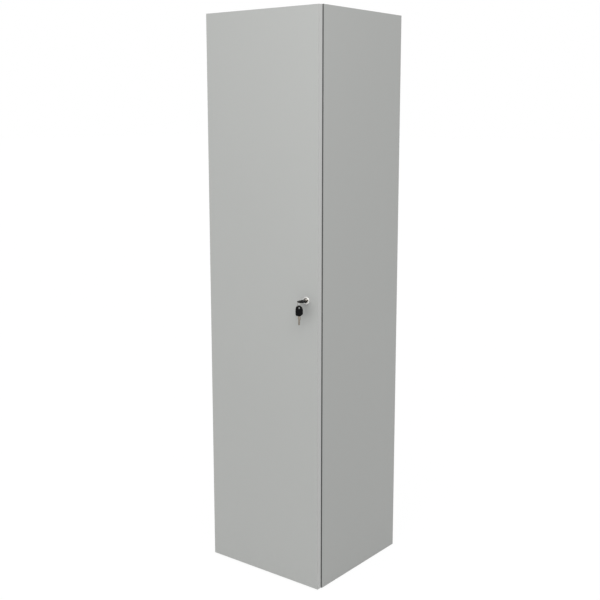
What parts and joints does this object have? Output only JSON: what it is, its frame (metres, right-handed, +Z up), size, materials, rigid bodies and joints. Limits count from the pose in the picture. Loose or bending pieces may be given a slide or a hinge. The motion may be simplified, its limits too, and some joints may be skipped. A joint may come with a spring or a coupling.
{
  "type": "single-door locker",
  "caption": "Tall single-door locker in light grey melamine board, with a full-overlay slab door on concealed hinges, a hat shelf, a coat rail and a key-operated cam lock.",
  "frame": {"origin": "on the floor under the middle of the closed body, without the keys", "axes": "+X to the right as seen from the front, +Y to the back, +Z up; the door faces -Y"},
  "size_m": [0.45, 0.4853, 1.82],
  "materials": {
    "board": "light grey melamine facing, fine matt texture",
    "edge_band": "light grey matt edge band",
    "beech": "fluted beech, bare",
    "zinc_steel": "zinc plated",
    "nickel": "bright nickel plated",
    "lock_metal": "nickel silver, lightly brushed",
    "black_plastic": "black, fine grain",
    "clear_rubber": "translucent soft bumper"
  },
  "bodies": {
    "carcass": {"left_side_panel": "board", "right_side_panel": "board", "top_panel": "board", "bottom_panel": "board", "back_panel": "board", "carcass_edge_bands": "edge_band", "dowels": "beech", "cam_housings": "zinc_steel", "cam_bolts": "zinc_steel", "cam_caps": "edge_band", "floor_glides": "black_plastic", "glide_nails": "zinc_steel", "hat_shelf": "board", "shelf_edge_band": "edge_band", "shelf_pins": "zinc_steel", "coat_rail": "nickel", "rail_sockets": "nickel", "rail_screws": "zinc_steel", "hinge_plates": "zinc_steel", "plate_screws": "zinc_steel", "hinge_arms": "nickel", "arm_screws": "zinc_steel", "arm_pins": "nickel", "strike_plate": "zinc_steel", "strike_screws": "zinc_steel"},
    "outer_links": {"outer_links": "nickel"},
    "inner_links": {"inner_links": "nickel"},
    "door": {"door_panel": "board", "door_edge_bands": "edge_band", "hinge_cups": "nickel", "cup_pins": "zinc_steel", "cup_screws": "zinc_steel", "door_bumpers": "clear_rubber", "lock_housing": "zinc_steel", "lock_rosette": "nickel", "lock_screws": "zinc_steel"},
    "plug": {"lock_plug": "lock_metal", "lock_cam": "zinc_steel", "cam_screw": "zinc_steel"},
    "key": {"key_blade": "lock_metal", "key_bow": "black_plastic"},
    "ring": {"key_ring": "zinc_steel"},
    "spare_key": {"spare_key_blade": "lock_metal", "spare_key_bow": "black_plastic"}
  },
  "joints": [
    {"name": "outer_link_turn", "type": "hinge", "parent": "carcass", "child": "outer_links", "pos_m": [-0.182, -0.2013, 0.9125], "axis": [0, 0, -1], "range_deg": [-24.8, 0]},
    {"name": "inner_link_turn", "type": "hinge", "parent": "carcass", "child": "inner_links", "pos_m": [-0.191, -0.2038, 0.9125], "axis": [0, 0, -1], "range_deg": [-15.3, 0]},
    {"name": "door_swing", "type": "hinge", "parent": "outer_links", "child": "door", "pos_m": [-0.2122, -0.2063, 0.9125], "axis": [0, 0, -1], "range_deg": [0, 120]},
    {"name": "lock_plug_turn", "type": "hinge", "parent": "door", "child": "plug", "pos_m": [0.1775, -0.22, 0.943], "axis": [0, 1, 0], "range_deg": [0, 90]},
    {"name": "key_pull", "type": "slide", "parent": "plug", "child": "key", "axis": [0, -1, 0], "range_m": [0, 0.024]},
    {"name": "ring_tilt", "type": "hinge", "parent": "key", "child": "ring", "pos_m": [0.1775, -0.2558, 0.943], "axis": [0, 1, 0], "range_deg": [-25.2, 0]},
    {"name": "spare_key_swing", "type": "hinge", "parent": "ring", "child": "spare_key", "pos_m": [0.1775, -0.2558, 0.928], "axis": [0, 1, 0], "range_deg": [-49.5, 0]}
  ],
  "couplings": [
    {"joint": "outer_link_turn", "follows": "door_swing", "ratio": -0.206},
    {"joint": "inner_link_turn", "follows": "door_swing", "ratio": -0.127},
    {"joint": "ring_tilt", "follows": "lock_plug_turn", "ratio": -0.28},
    {"joint": "spare_key_swing", "follows": "lock_plug_turn", "ratio": -0.55}
  ]
}
